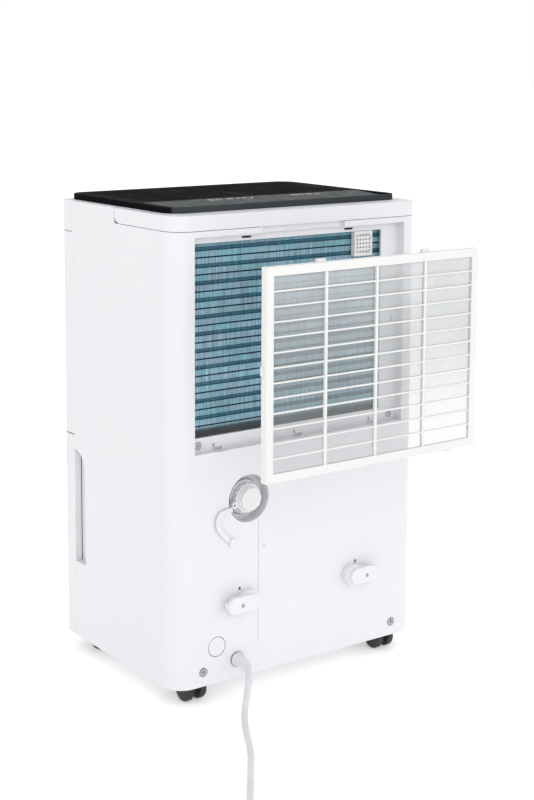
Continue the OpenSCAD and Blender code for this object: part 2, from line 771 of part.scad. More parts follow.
module filter_frame() {
  inner_w = filter_w - 2 * border;
  inner_h = filter_h - 2 * border;
  color("white") translate(filter_c) {
    difference() {
      box([-filter_w / 2, filter_w / 2], [-filter_back, 1], [-filter_h / 2, filter_h / 2]);
      box([-inner_w / 2, inner_w / 2], [-10, 3], [-inner_h / 2, inner_h / 2]);
      box([-filter_w / 2 + 2, filter_w / 2 - 2], [-10, -2.2], [-filter_h / 2 + 2, filter_h / 2 - 2]);
    }
    for (i = [1:filter_cols - 1]) {
      x = -inner_w / 2 + i * inner_w / filter_cols;
      box([x - 1.5, x + 1.5], [-2.2, 0.8], [-inner_h / 2 - 1, inner_h / 2 + 1]);
    }
    for (i = [1:filter_rows - 1]) {
      z = -inner_h / 2 + i * inner_h / filter_rows;
      box([-inner_w / 2 - 1, inner_w / 2 + 1], [-2, 0.4], [z - 0.8, z + 0.8]);
    }
    for (x = [-66, 66]) box([x - 5, x + 5], [-filter_back, -3], [filter_h / 2 - 0.1, filter_h / 2 + 3]);
    for (x = [-101, 0, 102])
      box([x - 4.5, x + 4.5], [-filter_back, -3], [-filter_h / 2 - 3, -filter_h / 2 + 0.1]);
    box([filter_w / 2 - 0.1, filter_w / 2 + 1.2], [-filter_back, -3], [0, 9]);
  }
}

module filter_mesh() {
  color([0.9, 0.92, 0.93, 0.5]) translate(filter_c) box([-filter_w / 2 + 3, filter_w / 2 - 3], [-2.9, -2.3],
    [-filter_h / 2 + 3, filter_h / 2 - 3]);
}

// ---- water tank ------------------------------------------------------------------------------

module tank_plan(inset) {
  translate([0, (bucket_y[0] + bucket_y[1]) / 2])
    rounded(2 * bucket_x - 2 * inset, bucket_y[1] - bucket_y[0] - 2 * inset, 12 - inset);
}

module tank_bucket() {
  color([0.8, 0.82, 0.84]) difference() {
    union() {
      translate([0, 0, bucket_z[0]]) linear_extrude(bucket_z[1] - bucket_z[0]) difference() {
        tank_plan(0);
        tank_plan(2.2);
      }
      translate([0, 0, bucket_z[0]]) linear_extrude(2.5) tank_plan(0.1);
      for (x = [92, 124]) box([x, x + 4], [0, 15], [192, 208]);
      for (x = [-100, 100]) box([x - 12, x + 12], [-114.9, -79], [70, 80]);
      for (x = [-100, 100]) box([x - 12, x + 12], [-114.9, -79], [200, 210]);
    }
    along_x(2.06, [90, 130], float_y, float_z);
  }
}

module tank_float() {
  color("orange") {
    along_x(4, [96.6, 123.4], float_y, float_z);
    along_x(2, [92.5, 127.5], float_y, float_z);
    box([104, 116], [-26, float_y], [float_z - 3, float_z + 1]);
    box([98, 122], [-40, -14], [float_z - 24, float_z - 2]);
  }
}

module tank_front() {
  color("white") difference() {
    union() {
      casing_wall([foot_gap + 0.5, tank_top_z]);
      translate([0, 0, tank_top_z - 3]) linear_extrude(3) difference() {
        casing_plan(1);
        casing_plan(12);
      }
      translate([0, 0, foot_gap + 30]) linear_extrude(3) difference() {
        casing_plan(1);
        casing_plan(12);
      }
      for (s = [-1, 1]) on_side(s)
        box([side_x - 8.2, side_x - 1], [wrap_y - 3.3, wrap_y], [grip_z[0] - 5, grip_z[1] + 25]);
    }
    behind(wrap_y - 0.3);
    box([-6, 6], [front_y - 1, front_y + 5], [70, 190]);
  }
}

module tank_level_window() {
  color([0.7, 0.85, 0.95, 0.4]) {
    box([-5.95, 5.95], [front_y + 0.2, front_y + 2.6], [70.05, 189.95]);
    box([-8, 8], [front_y + 2.6, front_y + 4.2], [66, 194]);
  }
}

// ---- casters ---------------------------------------------------------------------------------

caster_web = 3.2;                   // half width of the leg between the wheels
caster_trail = 8;
wheel_x = [4, 12.5];

module at_caster(x, y) {
  translate([x * caster_x, y * caster_y, 0]) children();
}

module caster_fork(x, y) {
  color([0.03, 0.03, 0.03]) at_caster(x, y) {
    upright(4, 0, 0, [26, 44]);
    upright(11, 0, 0, [26, 28.5]);
    box([-caster_web, caster_web], [-7, 10], [14, 27]);
    box([-caster_web, caster_web], [-2, caster_trail + 6], [8, 20]);
    along_x(2.5, [-11, 11], caster_trail, caster_r);
  }
}

module caster_wheels(x, y) {
  color([0.05, 0.05, 0.05]) at_caster(x, y) for (s = [-1, 1])
    translate([0, caster_trail, caster_r]) rotate([0, s * 90, 0]) difference() {
      rotate_extrude() polygon([[0, wheel_x[0]], [caster_r - 0.6, wheel_x[0]], [caster_r, wheel_x[0] + 0.8],
        [caster_r, wheel_x[1] - 2.5], [caster_r - 1, wheel_x[1] - 1], [caster_r - 3.5, wheel_x[1]],
        [0, wheel_x[1]]]);
      translate([0, 0, wheel_x[0] - 1]) cylinder(r = 2.56, h = wheel_x[1] - wheel_x[0] - 0.2);
    }
}

rear_housing();
base_pan();
front_panel();
top_frame();
top_grille();
control_panel();
chassis();
evaporator_fins();
evaporator_tubes();
coil_end_plates();
condenser_fins();
condenser_tubes();
drip_tray();
fan_scroll();
blower_wheel();
fan_motor();
compressor();
compressor_grommets();
accumulator();
refrigerant_pipes();
control_board();
run_capacitor();
humidity_sensor_cover();
humidity_sensor();
float_switch();
drain_socket();
drain_cap();
drain_tether();
tether_anchor();
cord_hook_left();
cord_hook_right();
cord_knockout();
cord_gland();
power_cord();
cord_coil();
cord_tail();
coil_tie();
power_plug();
plug_pins();
housing_screws();
recess_screws();
carry_handle();
handle_pins();
filter_frame();
filter_mesh();
tank_bucket();
tank_front();
tank_level_window();
tank_float();
caster_fork(1, 1);  // caster_fork_rear_left
caster_fork(-1, 1);  // caster_fork_rear_right
caster_fork(1, -1);  // caster_fork_front_left
caster_fork(-1, -1);  // caster_fork_front_right
caster_wheels(1, 1);  // caster_wheels_rear_left
caster_wheels(-1, 1);  // caster_wheels_rear_right
caster_wheels(1, -1);  // caster_wheels_front_left
caster_wheels(-1, -1);  // caster_wheels_front_right
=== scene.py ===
"""Looks for a portable dehumidifier that is seen from behind with its air filter pulled out.

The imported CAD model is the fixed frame: metres, +Z up, the back with the filter, drain and lead faces
+Y, the water tank pulls out along -Y, and the origin is on the floor under the middle of the casing.
"""

import json
import math
import random

import bmesh
import bpy
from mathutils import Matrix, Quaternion, Vector


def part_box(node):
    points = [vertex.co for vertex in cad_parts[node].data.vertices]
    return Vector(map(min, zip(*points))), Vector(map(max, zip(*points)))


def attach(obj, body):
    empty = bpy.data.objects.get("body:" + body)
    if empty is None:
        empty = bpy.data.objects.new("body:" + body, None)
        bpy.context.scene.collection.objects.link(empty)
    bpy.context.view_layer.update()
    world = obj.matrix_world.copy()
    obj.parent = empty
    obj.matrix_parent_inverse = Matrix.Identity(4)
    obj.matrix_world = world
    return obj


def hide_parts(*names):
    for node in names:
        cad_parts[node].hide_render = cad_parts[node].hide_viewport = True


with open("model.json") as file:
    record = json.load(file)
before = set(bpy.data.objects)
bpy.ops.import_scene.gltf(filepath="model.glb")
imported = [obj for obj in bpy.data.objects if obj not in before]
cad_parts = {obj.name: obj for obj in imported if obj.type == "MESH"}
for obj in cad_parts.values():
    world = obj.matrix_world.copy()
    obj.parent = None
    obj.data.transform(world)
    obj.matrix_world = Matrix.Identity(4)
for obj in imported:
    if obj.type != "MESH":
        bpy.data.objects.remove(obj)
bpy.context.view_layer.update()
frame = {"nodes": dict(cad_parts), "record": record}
CAD = frame["nodes"]
MM = 0.001
random.seed(7)


def mm(*values):
    """A point given in millimetres."""
    return Vector(values) * MM


def box_mm(node):
    """Lowest and highest corner of a CAD node in millimetres."""
    low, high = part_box(node)
    return low / MM, high / MM


def smooth(t):
    """Eases from 0 to 1, and stays there outside that range."""
    t = min(1.0, max(0.0, t))
    return t * t * (3 - 2 * t)


# ---- camera ------------------------------------------------------------------------------------

CAMERA_AT = mm(977.0, 1386.5, 660.4)
AZIMUTH, ELEVATION, ROLL = (math.radians(a) for a in (143.781, 7.685, 0.298))
LENS_MM = 70.71
SHIFT_Y = -0.17


def add_camera():
    """The camera stands behind the object's left rear corner, a little above its top."""
    data = bpy.data.cameras.new("camera")
    data.lens = LENS_MM
    data.shift_y = SHIFT_Y
    camera = bpy.data.objects.new("camera", data)
    back = Vector((math.sin(AZIMUTH) * math.cos(ELEVATION), -math.cos(AZIMUTH) * math.cos(ELEVATION),
                   math.sin(ELEVATION)))
    camera.location = CAMERA_AT
    camera.rotation_mode = "QUATERNION"
    camera.rotation_quaternion = (-back).to_track_quat("-Z", "Y") @ Quaternion((0, 0, 1), ROLL)
    bpy.context.scene.collection.objects.link(camera)
    bpy.context.scene.camera = camera


# ---- mains lead --------------------------------------------------------------------------------

CORD_D = 7
# The route of the lead from inside its gland to the coil
ROUTE = [(83.5, 110, 40), (83.5, 119, 40), (83.5, 127, 40), (84.6, 134.5, 39.3), (87, 141.5, 37.5),
         (90.5, 148.5, 34.2), (95.3, 155.3, 30.2), (101.1, 161.7, 25.4), (108.4, 169.4, 19.6),
         (115.6, 177.2, 14.1), (122.4, 186.3, 9.1), (128.6, 196.5, 5.5), (134.5, 207.5, 3.8),
         (141.5, 219.5, 3.5), (149.8, 234, 3.5), (159, 248.5, 3.5), (169, 262, 3.5), (179, 276, 3.5),
         (189, 289.5, 3.5), (199, 303, 3.5), (209, 317, 3.5), (219, 330.5, 3.5), (229, 344, 3.5),
         (240, 358, 3.5), (252, 373, 3.5)]
BOOT_KNOTS = (1, 4)                 # the boot covers the route between these two points
# From the coil's top to the plug, seen from the middle of the coil
TAIL = [(-21.5, -29.5, 17.5), (-13.5, -34, 18), (-5, -36, 19), (4, -36.5, 20.5), (12.5, -34.5, 23),
        (20.5, -30.5, 25.5), (27, -24.5, 28), (32, -17, 29.5), (35.5, -9, 30.5), (36.5, 0, 31)]
COIL_MIDDLE = (230, 415.7)
COIL_DIRECTION = math.radians(53.8)
# Radius and height of the lead's centreline in each lane of the coil, and the turns where it changes lane
LANES = [(43.5, 3.5), (36.5, 3.5), (36.5, 10.5), (43.5, 10.5), (43.5, 17.5), (36.5, 17.5)]
LANE_CHANGES = [0.87, 1.81, 2.75, 3.69, 4.62]
LANE_CHANGE_TURNS = 0.2
COIL_TURNS = 4.9
STEPS_PER_TURN = 20
LEAD_PIECES = 3                     # straight pieces between two points of the lead
LEAD_SIDES = 14


def from_coil(x, y, z):
    """A point seen from the middle of the coil, in the row frame."""
    c, s = math.cos(COIL_DIRECTION), math.sin(COIL_DIRECTION)
    return mm(COIL_MIDDLE[0] + c * x - s * y, COIL_MIDDLE[1] + s * x + c * y, z)


def coil_point(turn):
    """Where the lead is after so many turns of the coil."""
    radius, z = LANES[0]
    for at, old, new in zip(LANE_CHANGES, LANES, LANES[1:]):
        share = smooth((turn - at) / LANE_CHANGE_TURNS + 0.5)
        radius += (new[0] - old[0]) * share
        z += (new[1] - old[1]) * share
    angle = 2 * math.pi * turn - math.pi / 2
    return from_coil(radius * math.cos(angle), radius * math.sin(angle), z)


def smooth_line(knots, pieces):
    """A curve through points, with so many straight pieces from each point to the next."""
    line = []
    for i in range(len(knots) - 1):
        before, start, end, after = (knots[min(max(i + k, 0), len(knots) - 1)] for k in (-1, 0, 1, 2))
        reach = (end - start).length
        leave = (end - before) * (reach / (end - before).length)
        arrive = (after - start) * (reach / (after - start).length)
        for k in range(pieces):
            t = k / pieces
            line.append(start * (2 * t ** 3 - 3 * t ** 2 + 1) + leave * (t ** 3 - 2 * t ** 2 + t)
                        + end * (3 * t ** 2 - 2 * t ** 3) + arrive * (t ** 3 - t ** 2))
    return line + [knots[-1]]


def tube_rings(line, radii, sides):
    """Rings of a round tube along a line, each square to it, without twist."""
    rings, across = [], Vector((0, 0, 1))
    turns = [2 * math.pi * k / sides for k in range(sides)]
    for i, (middle, radius) in enumerate(zip(line, radii)):
        ahead = (line[min(i + 1, len(line) - 1)] - line[max(i - 1, 0)]).normalized()
        across = (across - ahead * across.dot(ahead)).normalized()
        third = ahead.cross(across)
        rings.append([middle + across * (radius * math.cos(a)) + third * (radius * math.sin(a))
                      for a in turns])
    return rings


def add_lead():
    """The lead's sheath: a round tube along its route, its coil and its last stretch to the plug."""
    steps = round(COIL_TURNS * STEPS_PER_TURN)
    knots = [Vector(p) for p in ROUTE]
    knots += [coil_point(i / STEPS_PER_TURN) / MM for i in range(steps)]
    knots += [from_coil(*p) / MM for p in TAIL]
    line = smooth_line(knots, LEAD_PIECES)
    rings = tube_rings(line, [CORD_D / 2] * len(line), LEAD_SIDES)
    lead = add_mesh("mains_lead", *skin_rings(rings), "casing", "cord_white", smooth_shading=True)
    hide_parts("power_cord", "cord_coil", "cord_tail")
    return lead, [point * MM for point in line]


# ---- materials ---------------------------------------------------------------------------------


class Shade:
    """A material under construction: its node tree, and the points of the surface in the row frame."""

    def __init__(self, name, **constants):
        self.material = bpy.data.materials.new(name)
        self.material.use_nodes = True
        self.tree = self.material.node_tree
        self.surface = self.tree.nodes["Principled BSDF"]
        self.place = self.tree.nodes.new("ShaderNodeTexCoord").outputs["Object"]
        for socket, value in constants.items():
            self.surface.inputs[socket.replace("_", " ")].default_value = value

    def add(self, kind, settings=(), **inputs):
        """A node with the given settings, whose inputs are values or other nodes' outputs. An input goes
        by its name, or by its number after the letter i."""
        made = self.tree.nodes.new("ShaderNode" + kind)
        for key, value in dict(settings).items():
            setattr(made, key, value)
        for key, value in inputs.items():
            socket = made.inputs[int(key[1:])] if key[0] == "i" and key[1:].isdigit() else made.inputs[key]
            if isinstance(value, bpy.types.NodeSocket):
                self.tree.links.new(value, socket)
            else:
                socket.default_value = value
        return made

    def along(self, axis):
        """The surface's place along an axis of the row frame, in metres."""
        return self.add("SeparateXYZ", Vector=self.place).outputs[axis]

    def noise(self, per_metre, detail=2.0, stretch=(1, 1, 1)):
        """Uneven values about one half, with so many features a metre along each axis."""
        place = self.add("Mapping", Vector=self.place, Scale=stretch).outputs["Vector"]
        return self.add("TexNoise", Vector=place, Scale=per_metre, Detail=detail).outputs["Fac"]

    def ramp(self, value, stops, interpolation="LINEAR"):
        """Colours at places from 0 to 1 along a value."""
        ramp = self.add("ValToRGB", Fac=value)
        ramp.color_ramp.interpolation = interpolation
        elements = ramp.color_ramp.elements
        while len(elements) < len(stops):
            elements.new(1.0)
        for element, (at, colour) in zip(elements, stops):
            element.position = at
            element.color = (*colour, 1)
        return ramp.outputs["Color"]

    def spread(self, value, low, high, start=0.3, end=0.7):
        """A value that runs from start to end, mapped to low..high."""
        made = self.add("MapRange", i0=value, i1=start, i2=end, i3=low, i4=high)
        return made.outputs["Result"]

    def mix(self, amount, first, second, blend="MIX"):
        """The first colour where amount is 0 and the second where it is 1, or the two blended."""
        made = self.add("Mix", {"data_type": "RGBA", "blend_type": blend}, i0=amount)
        for index, value in ((6, first), (7, second)):
            if isinstance(value, bpy.types.NodeSocket):
                self.tree.links.new(value, made.inputs[index])
            else:
                made.inputs[index].default_value = (*value, 1)
        return made.outputs[2]

    def times(self, colour, factor):
        """A colour multiplied by another colour or by a value."""
        return self.mix(1.0, colour, factor, "MULTIPLY")

    def connect(self, output, socket):
        """Leads an output to a socket of the surface."""
        self.tree.links.new(output, self.surface.inputs[socket])

    def bump(self, height, depth, strength=0.6):
        """Raises the surface by a height of 0..1 times depth, in millimetres."""
        made = self.add("Bump", Height=height, Distance=depth * MM, Strength=strength)
        self.connect(made.outputs["Normal"], "Normal")


DRIFT = (0.36, 0.64)                # the noise values between which a colour changes


def skin(name, tones, gloss, patch=9, grain=1100, depth=0.03, stretch=(1, 1, 1), **constants):
    """A surface whose colour drifts between two or three tones over patches, whose roughness lies
    between the two values of gloss, and whose grain has the given count a metre and depth in mm."""
    shade = Shade(name, **constants)
    drift = shade.noise(patch, detail=4.0)
    stops = [(DRIFT[0] + (DRIFT[1] - DRIFT[0]) * i / (len(tones) - 1), tone) for i, tone in enumerate(tones)]
    shade.connect(shade.ramp(drift, stops), "Base Color")
    shade.connect(shade.spread(shade.noise(patch * 5, detail=5.0), *gloss), "Roughness")
    shade.bump(shade.noise(grain, detail=2.0, stretch=stretch), depth)
    return shade.material


# The evaporator's face from one dark line up to the next: (height, tone, depth behind the face), in mm
BANDS = [(1.5, "groove", 5.0), (5.7, "light", 0.0), (1.0, "groove", 4.0), (2.7, "mid", 1.6),
         (0.7, "groove", 3.0), (5.48, "light", 0.0)]
BAND_PITCH = sum(height for height, tone, depth in BANDS)
BAND_START = 457.1 - 11 * BAND_PITCH                # 457.1 is the height of the foot of one dark line
# The groove tone is painted shade in the grooves, darker than their real depth alone shades them.
FIN_TONES = {"light": (0.285, 0.45, 0.54), "mid": (0.1, 0.27, 0.38), "groove": (0.038, 0.12, 0.185)}
# Painted shade at the foot of the fins, at the bottom of the recess.
SHADED_FOOT_Z = (283, 286)            # the fins darken from the upper height to the lower


def fin_finish(name):
    """Coated aluminium fins: tone by band with painted shade in the grooves, patches that lean to grey and to
    green, fine upright streaks, and a foot painted nearly black as shade at the bottom of the recess."""
    shade = Shade(name, Metallic=0.15, Specular_IOR_Level=0.35)
    z = shade.along("Z")
    turns = shade.add("Math", {"operation": "MULTIPLY_ADD"}, i0=z, i1=1 / (BAND_PITCH * MM),
                      i2=-BAND_START / BAND_PITCH).outputs[0]
    phase = shade.add("Math", {"operation": "FRACT"}, i0=turns).outputs[0]
    stops, low = [], 0.0
    for height, tone, depth in BANDS:
        stops.append((low / BAND_PITCH, FIN_TONES[tone]))
        low += height
    colour = shade.ramp(phase, stops, "CONSTANT")
    hue = shade.noise(42, detail=4.0, stretch=(1, 1, 2.2))
    tint = shade.ramp(hue, [(DRIFT[0], (0.86, 1.05, 1.0)), (0.5, (1.0, 1.0, 1.0)),
                            (DRIFT[1], (1.09, 0.99, 0.97))])
    streaks = shade.spread(shade.noise(560, detail=2.0, stretch=(1, 1, 0.05)), 0.68, 1.28)
    soil = shade.spread(shade.noise(14, detail=4.0, stretch=(1, 1, 3)), 0.86, 1.1)
    # painted shade: the fins go nearly black at their foot
    foot = shade.spread(z, 0.22, 1.0, start=SHADED_FOOT_Z[0] * MM, end=SHADED_FOOT_Z[1] * MM)
    for factor in (tint, streaks, soil, foot):
        colour = shade.times(colour, factor)
    shade.connect(colour, "Base Color")
    shade.connect(shade.spread(shade.noise(90, detail=3.0), 0.35, 0.6), "Roughness")
    shade.bump(shade.noise(1500, detail=2.0, stretch=(1, 1, 0.1)), 0.05)
    return shade.material


def net_finish(name):
    """Threads painted paler towards the top as sheen from above, and greyer towards the foot of the net,
    where they are thinnest, as shade, with uneven patches.
    """
    shade = Shade(name, Specular_IOR_Level=0.2)
    low, high = box_mm("filter_mesh")
    height = shade.spread(shade.along("Z"), 0.0, 1.0, start=low.z * MM, end=high.z * MM)
    # painted light: a paler top as painted sheen, a greyer foot as painted shade
    colour = shade.ramp(height, [(0.0, (0.3, 0.315, 0.32)), (0.5, (0.4, 0.42, 0.425)),
                                 (1.0, (0.57, 0.585, 0.595))])
    patches = shade.spread(shade.noise(25, detail=4.0), 0.93, 1.07)
    shade.connect(shade.times(colour, patches), "Base Color")
    shade.connect(shade.spread(shade.noise(120, detail=4.0), 0.5, 0.7), "Roughness")
    shade.bump(shade.noise(2500), 0.03)
    return shade.material


# Painted reflection: the slab's rear band and edge are grey as the sheen of its gloss.
SLAB_SHEEN_BAND = (7.5, 6.0)            # from the slab's rear edge, where its top turns from black to grey


def slab_finish(name):
    """Fine-grained black on top of the slab, and dark grey as painted reflection on its rear band and edge,
    behind the strip.
    """
    shade = Shade(name, Specular_IOR_Level=0.015)
    rear = box_mm("top_grille")[1].y
    start, end = ((rear - inset) * MM for inset in SLAB_SHEEN_BAND)
    sheen_band = shade.spread(shade.along("Y"), 0.0, 1.0, start=start, end=end)
    # painted reflection: grey on the rear band and edge stands in for sheen, the top stays near black
    colour = shade.mix(sheen_band, (0.0062, 0.0066, 0.0085), (0.044, 0.051, 0.054))
    patches = shade.spread(shade.noise(14, detail=4.0), 0.88, 1.12)
    shade.connect(shade.times(colour, patches), "Base Color")
    shade.connect(shade.spread(shade.noise(60, detail=4.0), 0.6, 0.78), "Roughness")
    shade.bump(shade.noise(1800), 0.05)
    return shade.material


def board_finish(name):
    """Green solder mask with paler copper tracks under it."""
    shade = Shade(name)
    tracks = shade.add("TexBrick", Vector=shade.place, Scale=60.0, **{"Mortar Size": 0.03}).outputs["Fac"]
    colour = shade.mix(tracks, (0.02, 0.11, 0.045), (0.06, 0.24, 0.09))
    shade.connect(colour, "Base Color")
    shade.connect(shade.spread(shade.noise(60, detail=3.0), 0.3, 0.5), "Roughness")
    shade.bump(tracks, 0.05)
    return shade.material


def frosted_finish(name):
    """Milky moulded plastic that lets light through."""
    shade = Shade(name, Transmission_Weight=0.55, IOR=1.45)
    drift = shade.noise(14, detail=3.0)
    shade.connect(shade.ramp(drift, [(0.35, (0.74, 0.79, 0.83)), (0.65, (0.82, 0.86, 0.89))]), "Base Color")
    shade.connect(shade.spread(shade.noise(50, detail=4.0), 0.42, 0.6), "Roughness")
    shade.bump(shade.noise(900, detail=2.0), 0.03)
    return shade.material


def clear_finish(name):
    """Clear plastic with faint moulding waves."""
    shade = Shade(name, Transmission_Weight=0.92, IOR=1.46)
    drift = shade.noise(30, detail=2.0)
    shade.connect(shade.ramp(drift, [(0.35, (0.82, 0.9, 0.95)), (0.65, (0.9, 0.95, 0.98))]), "Base Color")
    shade.connect(shade.spread(shade.noise(70, detail=3.0), 0.05, 0.14), "Roughness")
    shade.bump(shade.noise(240, detail=1.0), 0.02)
    return shade.material


# Plain finishes: the tones that their colour drifts between, their range of gloss, and the rest for skin()
SKINS = {
    "casing_white": ([(0.712, 0.71, 0.738), (0.727, 0.725, 0.75)], (0.34, 0.46),
                     dict(patch=5, grain=1500, depth=0.02, Specular_IOR_Level=0.4)),
    "inner_white": ([(0.74, 0.76, 0.78), (0.8, 0.81, 0.83)], (0.45, 0.6),
                    dict(patch=12, grain=900, depth=0.04)),
    "panel_black": ([(0.019, 0.0245, 0.0265), (0.0225, 0.029, 0.031)], (0.3, 0.42),
                    dict(patch=15, grain=260, depth=0.01, Specular_IOR_Level=0.02)),
    "filter_white": ([(0.69, 0.69, 0.685), (0.715, 0.715, 0.705)], (0.38, 0.52),
                     dict(patch=8, grain=1300, depth=0.02)),
    "fin_plain": ([(0.62, 0.63, 0.64), (0.76, 0.77, 0.78)], (0.3, 0.5),
                  dict(patch=30, grain=900, depth=0.05, stretch=(1, 1, 0.1), Metallic=0.85)),
    "copper": ([(0.62, 0.3, 0.18), (0.8, 0.44, 0.28), (0.7, 0.36, 0.2)], (0.22, 0.42),
               dict(patch=40, grain=700, depth=0.03, Metallic=1.0)),
    "zinc_steel": ([(0.36, 0.37, 0.39), (0.46, 0.47, 0.49), (0.4, 0.4, 0.41)], (0.28, 0.45),
                   dict(patch=120, grain=2200, depth=0.03, Metallic=0.9)),
    "machine_black": ([(0.022, 0.023, 0.026), (0.034, 0.035, 0.038)], (0.32, 0.48),
                      dict(patch=20, grain=260, depth=0.08)),
    "motor_grey": ([(0.24, 0.25, 0.27), (0.31, 0.32, 0.34)], (0.35, 0.5),
                   dict(patch=30, grain=400, depth=0.06, Metallic=0.3)),
    "rubber_black": ([(0.018, 0.018, 0.018), (0.03, 0.03, 0.031)], (0.65, 0.85),
                     dict(patch=60, grain=1600, depth=0.06)),
    "soft_white": ([(0.68, 0.68, 0.7), (0.73, 0.73, 0.745)], (0.42, 0.58),
                   dict(patch=40, grain=1400, depth=0.04)),
    "cord_white": ([(0.64, 0.64, 0.67), (0.7, 0.7, 0.725)], (0.4, 0.55),
                   dict(patch=35, grain=1100, depth=0.05)),
    # painted shade: the dark ring around the gland, on the flange's rim
    "flange_shadow_grey": ([(0.17, 0.17, 0.185), (0.22, 0.22, 0.235)], (0.4, 0.55),
                    dict(patch=60, grain=1200, depth=0.03)),
    "tie_grey": ([(0.09, 0.09, 0.095), (0.13, 0.13, 0.135)], (0.5, 0.7),
                 dict(patch=60, grain=900, depth=0.12, stretch=(1, 1, 3))),
    "pin_brass": ([(0.66, 0.5, 0.24), (0.8, 0.64, 0.34)], (0.18, 0.34),
                  dict(patch=80, grain=1200, depth=0.02, Metallic=1.0)),
    "float_orange": ([(0.68, 0.24, 0.05), (0.8, 0.32, 0.08)], (0.6, 0.8),
                     dict(patch=60, grain=700, depth=0.15)),
    "fan_black": ([(0.03, 0.03, 0.033), (0.045, 0.045, 0.05)], (0.4, 0.55),
                  dict(patch=25, grain=1200, depth=0.04)),
    "caster_black": ([(0.012, 0.012, 0.013), (0.02, 0.02, 0.021)], (0.4, 0.6),
                     dict(patch=50, grain=1500, depth=0.05)),
    "wheel_black": ([(0.014, 0.014, 0.014), (0.026, 0.026, 0.025)], (0.45, 0.7),
                    dict(patch=70, grain=900, depth=0.08)),
}
# Finishes that have a function of their own
PATTERNED = {"slab_black": slab_finish, "filter_mesh": net_finish, "fin_blue": fin_finish,
             "board_green": board_finish, "tank_frost": frosted_finish, "window_clear": clear_finish}


def make_finishes():
    """One material for each slot of the record, and one for the painted shade on the rim of the gland's
    flange.
    """
    finishes = {name: skin(name, tones, gloss, **rest) for name, (tones, gloss, rest) in SKINS.items()}
    finishes.update({name: finish(name) for name, finish in PATTERNED.items()})
    return finishes


# ---- meshes ------------------------------------------------------------------------------------

SHARP_DEGREES = 35                  # edges of CAD nodes at more than this angle are rounded


def add_mesh(name, vertices, faces, body, slot, smooth_shading=False):
    """A piece from points in millimetres that rides on a body and takes the finish of a slot."""
    data = bpy.data.meshes.new(name)
    data.from_pydata([mm(*v) for v in vertices], [], faces)
    work = bmesh.new()
    work.from_mesh(data)
    bmesh.ops.recalc_face_normals(work, faces=work.faces)
    for face in work.faces:
        face.smooth = smooth_shading
    work.to_mesh(data)
    work.free()
    data.materials.append(FINISH[slot])
    piece = bpy.data.objects.new(name, data)
    bpy.context.scene.collection.objects.link(piece)
    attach(piece, body)
    return piece


def skin_rings(rings):
    """Vertices and faces of a closed skin over rings with the same number of points."""
    count = len(rings[0])
    vertices = [point for ring in rings for point in ring]
    faces = []
    for start in range(0, (len(rings) - 1) * count, count):
        for k in range(count):
            after = (k + 1) % count
            faces.append((start + k, start + after, start + count + after, start + count + k))
    faces.append(tuple(reversed(range(count))))
    faces.append(tuple(range((len(rings) - 1) * count, len(rings) * count)))
    return vertices, faces


def joined(parts):
    """Several lists of (vertices, faces) as one."""
    vertices, faces = [], []
    for some_vertices, some_faces in parts:
        start = len(vertices)
        vertices += some_vertices
        faces += [tuple(start + i for i in face) for face in some_faces]
    return vertices, faces


def split_edges(piece, degrees):
    """Shades a smooth piece sharply where its faces meet at more than an angle."""
    edges = piece.modifiers.new("edges", "EDGE_SPLIT")
    edges.split_angle = math.radians(degrees)


def soften(node, width):
    """Rounds the sharp edges of a CAD node by a width in millimetres, without changing its own mesh."""
    part = CAD[node]
    weld = part.modifiers.new("weld", "WELD")
    weld.merge_threshold = 0.01 * MM
    bevel = part.modifiers.new("edges", "BEVEL")
    bevel.width = width * MM
    bevel.segments = 2
    bevel.limit_method = "ANGLE"
    bevel.angle_limit = math.radians(SHARP_DEGREES)
    bevel.miter_outer = "MITER_ARC"
    bevel.use_clamp_overlap = True
    normals = part.modifiers.new("normals", "WEIGHTED_NORMAL")
    normals.keep_sharp = True


# ---- evaporator --------------------------------------------------------------------------------

RIB_PITCH = 1.9                     # from one fin's edge to the next
RIB_HALF = 0.17                     # half the thickness of a fin's edge
RIB_PROUD = 0.55                    # how far the edges stand in front of the block
RIB_DEEP = 1.4                      # from front to back of an edge
RIB_FOLLOW = 0.35                   # how far the edges dip into the grooves, as a share of their depth
RIB_WANDER = 0.12                   # how far an edge may stand off its even pitch
DENTS = 22
DENT_REACH_X, DENT_REACH_Z = (1.5, 4.5), (3, 7)
DENT_PUSH = (0.5, 0.9)


def band_profile(low, high, face_y, proud=0.0):
    """Points (y, z) up the evaporator's face from low to high, or up the edges that stand proud of it."""
    points, z, i = [], BAND_START, 0
    while z < high:
        height, tone, depth = BANDS[i % len(BANDS)]
        bottom, top = max(z, low), min(z + height, high)
        if top > bottom:
            y = face_y - depth * (RIB_FOLLOW if proud else 1.0) - RIB_PROUD + proud
            points += [(y, bottom), (y, top)]
        z += height
        i += 1
    return points


